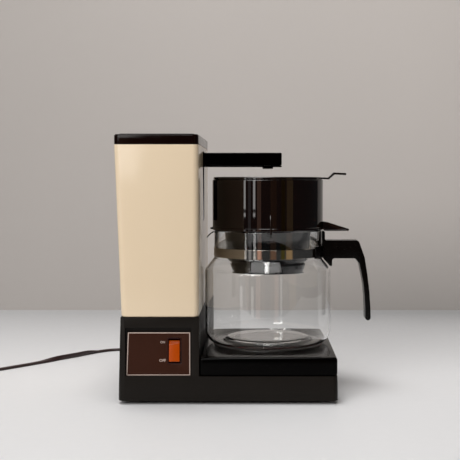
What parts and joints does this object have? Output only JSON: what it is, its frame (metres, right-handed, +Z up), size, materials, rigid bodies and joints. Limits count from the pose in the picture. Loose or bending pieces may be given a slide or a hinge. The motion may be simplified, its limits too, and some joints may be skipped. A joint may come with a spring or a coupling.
{
  "type": "drip coffee maker",
  "caption": "Drip coffee maker: cream water tower on a dark brown base, spout arm over a lidded filter basket that stands in a glass jug on a hotplate.",
  "frame": {"origin": "on the table under the middle of the machine, measured without its cord", "axes": "front faces -Y, +Z is up, the jug stands to the +X side of the tower"},
  "size_m": [0.5865, 0.3514, 0.3005],
  "materials": {
    "brown_housing": "fine-grained dark brown",
    "rubber": "matt black",
    "screw_steel": "zinc-plated",
    "black_brown_gloss": "polished black-brown",
    "plate_coating": "dark non-stick coat",
    "seal_silicone": "red silicone",
    "tube_aluminium": "drawn",
    "black_plastic": "black",
    "fuse_sleeve": "glass-fibre sleeve",
    "hose_silicone": "milky silicone",
    "white_plastic": "off-white",
    "valve_ball": "dark",
    "cream": "cream, satin gloss",
    "panel_brown": "reddish brown",
    "panel_line": "pale line",
    "switch_red_brown": "dark red-brown",
    "switch_brass": "plain",
    "lamp_glass": "neon lamp",
    "rocker_orange": "see-through orange",
    "wire_brown": "brown insulation",
    "cord_brown": "dark brown PVC",
    "plug_brass": "plain",
    "jug_clear": "clear heat-resistant glass",
    "band_steel": "bright polished",
    "handle_plastic": "near black brown",
    "basket_brown": "glossy dark brown"
  },
  "bodies": {
    "machine": {"base_housing": "brown_housing", "bottom_cover": "brown_housing", "rear_cover": "brown_housing", "rubber_feet": "rubber", "tank_grommet": "rubber", "cover_screws": "screw_steel", "surround_screws": "screw_steel", "rear_screws": "screw_steel", "clamp_nut": "screw_steel", "hotplate_surround": "black_brown_gloss", "spout_arm": "black_brown_gloss", "arm_cover": "black_brown_gloss", "outlet_nozzle": "black_brown_gloss", "arm_root_plate": "black_brown_gloss", "hotplate": "plate_coating", "hotplate_seal": "seal_silicone", "heating_element": "tube_aluminium", "water_tube": "tube_aluminium", "riser_pipe": "tube_aluminium", "clamp_bar": "tube_aluminium", "thermostat": "black_plastic", "coil_tie": "black_plastic", "thermal_fuse": "fuse_sleeve", "inlet_hose": "hose_silicone", "tank_hose": "hose_silicone", "outlet_hose": "hose_silicone", "pipe_sleeve": "hose_silicone", "check_valve_body": "white_plastic", "arm_tube": "white_plastic", "terminal_block": "white_plastic", "cord_clamp": "white_plastic", "water_tank": "white_plastic", "tower_shell": "cream", "control_plate": "panel_brown", "plate_border": "panel_line", "switch_body": "switch_red_brown", "switch_blades": "switch_brass", "neon_lamp": "lamp_glass", "inner_wiring": "wire_brown", "cord_lead": "cord_brown", "cord_coil": "cord_brown", "cord_tail": "cord_brown", "strain_relief": "cord_brown", "plug_body": "cord_brown", "plug_blades": "plug_brass"},
    "tower_lid": {"tower_lid": "black_brown_gloss"},
    "switch_rocker": {"rocker": "rocker_orange"},
    "jug": {"jug_glass": "jug_clear", "neck_band": "band_steel", "band_screw": "screw_steel", "band_nut": "screw_steel", "jug_handle": "handle_plastic"},
    "basket": {"filter_basket": "basket_brown"},
    "basket_cover": {"basket_lid": "basket_brown"},
    "valve_ball": {"check_ball": "valve_ball"}
  },
  "joints": [
    {"name": "lid_lift", "type": "slide", "parent": "machine", "child": "tower_lid", "axis": [0, 0, 1], "range_m": [0, 0.08]},
    {"name": "rocker_tilt", "type": "hinge", "parent": "machine", "child": "switch_rocker", "pos_m": [-0.0812, -0.094, 0.0595], "axis": [1, 0, 0], "range_deg": [0, 12]},
    {"name": "jug_out", "type": "slide", "parent": "machine", "child": "jug", "axis": [0, -1, 0], "range_m": [0, 0.17]},
    {"name": "basket_lift", "type": "slide", "parent": "jug", "child": "basket", "axis": [0, 0, 1], "range_m": [0, 0.004]},
    {"name": "cover_lift", "type": "slide", "parent": "basket", "child": "basket_cover", "axis": [0, 0, 1], "range_m": [0, 0.004]},
    {"name": "ball_lift", "type": "slide", "parent": "machine", "child": "valve_ball", "axis": [0, 0, 1], "range_m": [0, 0.0045]}
  ]
}
